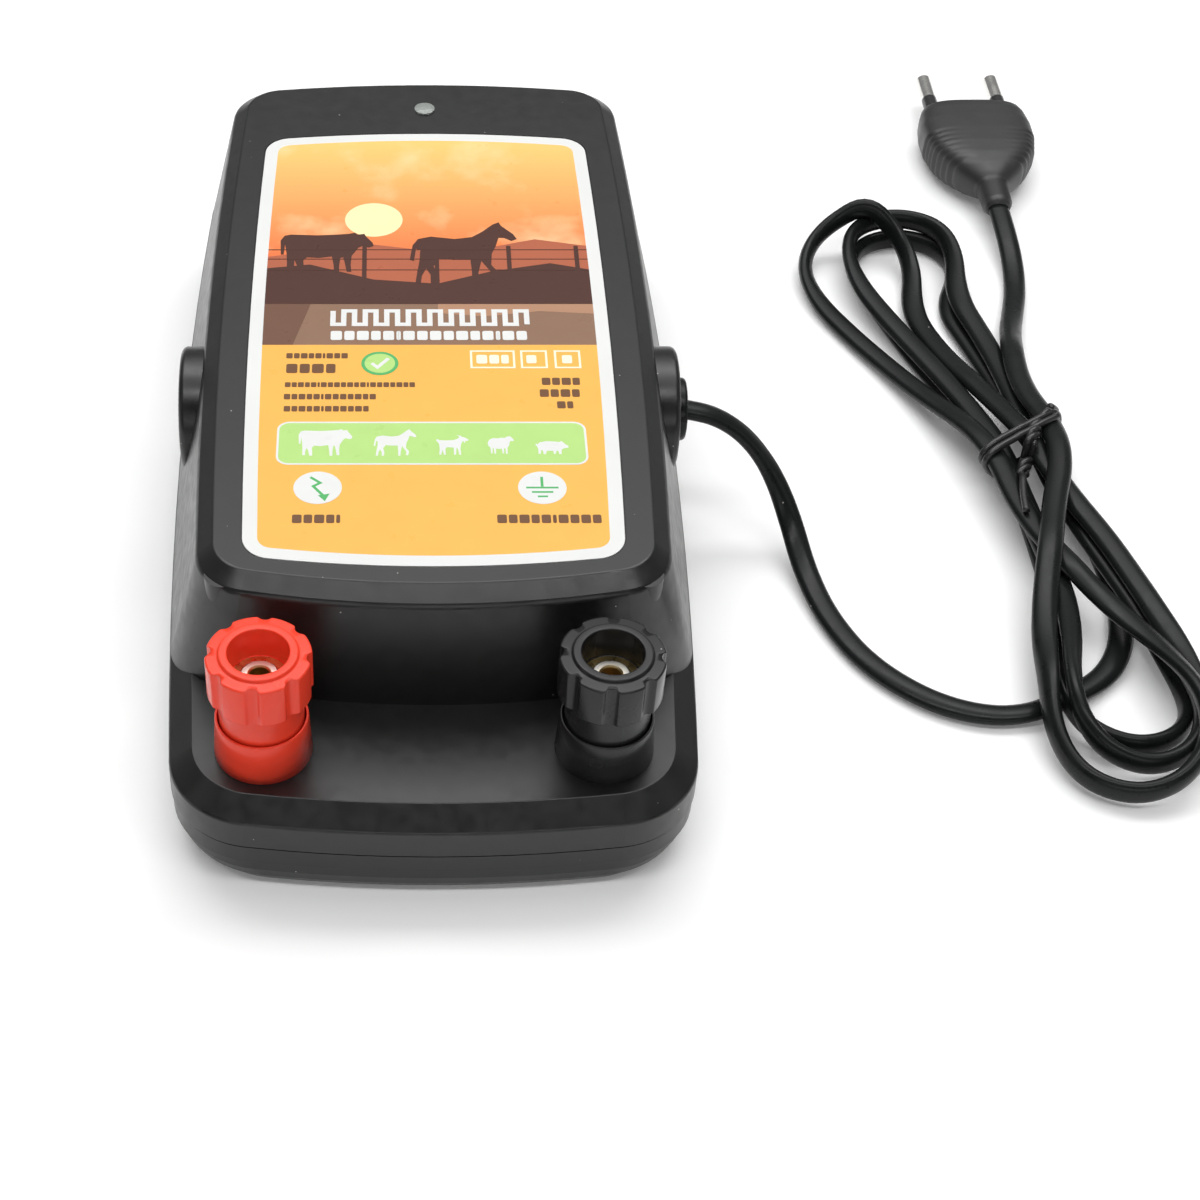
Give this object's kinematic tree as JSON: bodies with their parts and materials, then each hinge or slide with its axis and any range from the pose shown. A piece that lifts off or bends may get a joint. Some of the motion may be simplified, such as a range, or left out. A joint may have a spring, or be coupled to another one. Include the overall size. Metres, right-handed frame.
{
  "type": "fence energizer",
  "caption": "Mains-powered electric fence energizer: black case lying on its back, red and black screw-down binding posts, flat lead tied in a hank with a two-pin plug.",
  "frame": {"origin": "middle of the case's resting face, the flat back", "axes": "+Z out of the labelled front, +Y towards the end away from the binding posts, +X towards the side that the mains lead leaves"},
  "size_m": [0.2199, 0.282, 0.0508],
  "materials": {
    "case_plastic": "satin black ABS, very fine grain",
    "cover_plastic": "satin black ABS",
    "seal_rubber": "matt rubber",
    "label_film": "printed label, orange with white border, satin laminate",
    "screw_steel": "zinc-plated steel",
    "red_plastic": "glossy red plastic",
    "black_post_plastic": "glossy black plastic",
    "nickel_plate": "nickel plate",
    "insert_brass": "machined brass",
    "tinned_tag": "tinned metal",
    "board_laminate": "green glass-fibre laminate with solder mask",
    "core_steel": "varnished steel laminations",
    "bobbin_nylon": "natural nylon",
    "coil_tape": "yellow polyester tape over the winding",
    "capacitor_case": "blue-black resin-filled case",
    "resistor_ceramic": "white cement",
    "component_black": "moulded epoxy",
    "capacitor_sleeve": "shrink sleeve",
    "heat_sink_aluminium": "black anodised aluminium",
    "fuse_glass": "clear glass",
    "terminal_green": "green polyamide",
    "led_green": "tinted clear epoxy",
    "clear_lens": "clear acrylic",
    "wire_red": "PVC insulation",
    "wire_black": "PVC insulation",
    "wire_brown": "PVC insulation",
    "wire_blue": "PVC insulation",
    "lead_pvc": "satin PVC sheath",
    "tie_plastic": "plastic-covered wire",
    "plug_pvc": "moulded PVC",
    "pin_nickel": "nickel-plated brass"
  },
  "bodies": {
    "case": {"front_housing": "case_plastic", "rear_cover": "cover_plastic", "housing_seal": "seal_rubber", "front_label": "label_film", "case_screws": "screw_steel", "red_post_collar": "red_plastic", "red_post_stud": "nickel_plate", "red_post_washer": "screw_steel", "red_solder_tag": "tinned_tag", "red_post_nut": "insert_brass", "black_post_collar": "black_post_plastic", "black_post_stud": "nickel_plate", "black_post_washer": "screw_steel", "black_solder_tag": "tinned_tag", "black_post_nut": "insert_brass", "circuit_board": "board_laminate", "board_screws": "screw_steel", "transformer_core": "core_steel", "transformer_bobbin": "bobbin_nylon", "transformer_coil": "coil_tape", "storage_capacitor": "capacitor_case", "charge_resistors": "resistor_ceramic", "rectifier_diodes": "component_black", "smoothing_capacitors": "capacitor_sleeve", "timing_chip": "component_black", "thyristor_heat_sink": "heat_sink_aluminium", "thyristor": "component_black", "mains_fuse": "fuse_glass", "fuse_clips": "tinned_tag", "mains_terminal_block": "terminal_green", "pulse_led": "led_green", "light_pipe": "clear_lens", "fence_wire": "wire_red", "earth_wire": "wire_black", "live_conductor": "wire_brown", "neutral_conductor": "wire_blue", "cord_bushing": "lead_pvc", "mains_lead": "lead_pvc", "lead_hank": "lead_pvc", "plug_tail": "lead_pvc", "hank_tie": "tie_plastic", "plug_body": "plug_pvc", "plug_pins": "pin_nickel"},
    "red_clamp": {"red_clamp_washer": "nickel_plate"},
    "red_knob_set": {"red_knob": "red_plastic", "red_knob_insert": "insert_brass"},
    "black_clamp": {"black_clamp_washer": "nickel_plate"},
    "black_knob_set": {"black_knob": "black_post_plastic", "black_knob_insert": "insert_brass"}
  },
  "joints": [
    {"name": "red_knob_lift", "type": "slide", "parent": "case", "child": "red_clamp", "axis": [0, 0, 1], "range_m": [0, 0.007]},
    {"name": "red_knob_turn", "type": "hinge", "parent": "red_clamp", "child": "red_knob_set", "pos_m": [-0.0327, -0.0913, 0.039], "axis": [0, 0, 1], "range_deg": [0, 2016]},
    {"name": "black_knob_lift", "type": "slide", "parent": "case", "child": "black_clamp", "axis": [0, 0, 1], "range_m": [0, 0.007]},
    {"name": "black_knob_turn", "type": "hinge", "parent": "black_clamp", "child": "black_knob_set", "pos_m": [0.0327, -0.0913, 0.039], "axis": [0, 0, 1], "range_deg": [0, 2016]}
  ],
  "couplings": [
    {"joint": "red_knob_lift", "follows": "red_knob_turn", "m_per_rad": 0.00019894},
    {"joint": "black_knob_lift", "follows": "black_knob_turn", "m_per_rad": 0.00019894}
  ]
}
